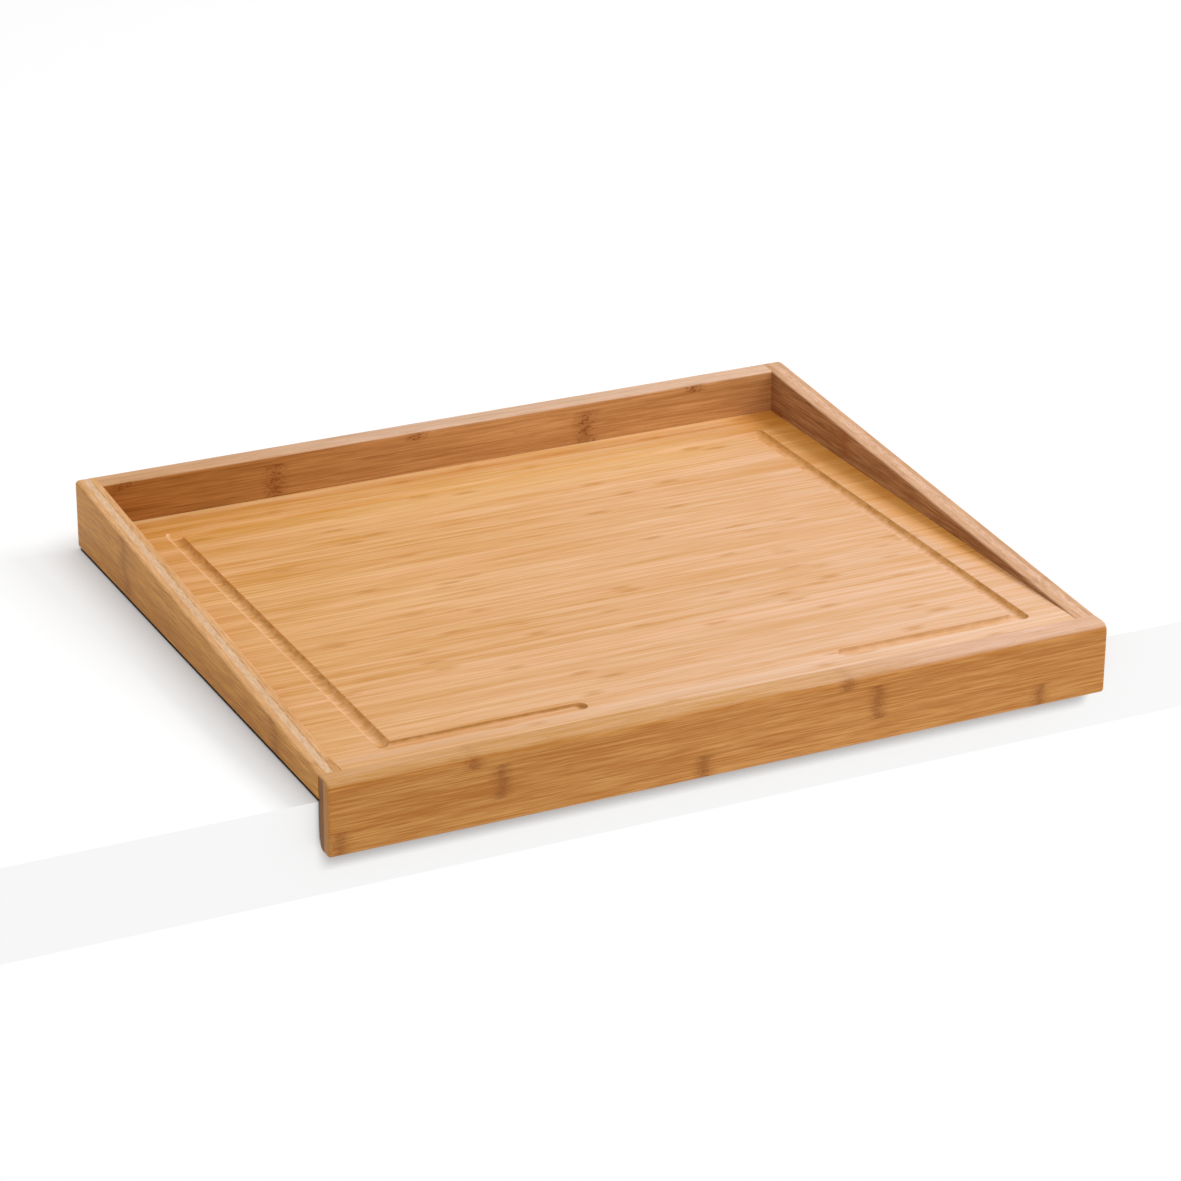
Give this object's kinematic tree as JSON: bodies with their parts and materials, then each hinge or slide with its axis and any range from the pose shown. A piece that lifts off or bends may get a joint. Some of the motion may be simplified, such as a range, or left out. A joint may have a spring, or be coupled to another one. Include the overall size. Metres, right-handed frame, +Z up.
{
  "type": "worktop cutting board",
  "caption": "Bamboo cutting board with a juice groove, a low frame that tapers towards the front, and a lip that hooks over a worktop's edge.",
  "frame": {"origin": "middle of the inner corner between the underside and the lip's back face, where the worktop's front top edge sits", "axes": "+X along the lip to the right as seen from the front, +Y from the lip to the back rail, +Z up from the worktop"},
  "size_m": [0.54, 0.44, 0.0798],
  "materials": {
    "panel": "satin",
    "frame": "satin",
    "lip": "satin",
    "joint": "matt"
  },
  "bodies": {
    "root": {"cutting_panel": "panel", "left_wall_outer_ply": "frame", "left_wall_core_ply": "frame", "left_wall_inner_ply": "frame", "right_wall_outer_ply": "frame", "right_wall_core_ply": "frame", "right_wall_inner_ply": "frame", "back_rail_front_ply": "frame", "back_rail_core_ply": "frame", "back_rail_rear_ply": "frame", "front_lip_back_ply": "lip", "front_lip_front_ply": "lip", "left_wall_spline": "joint", "right_wall_spline": "joint", "back_rail_spline": "joint", "front_lip_spline": "joint", "left_rail_end_dowels": "joint", "right_rail_end_dowels": "joint", "left_wall_nose_dowel": "joint", "right_wall_nose_dowel": "joint"}
  },
  "joints": []
}
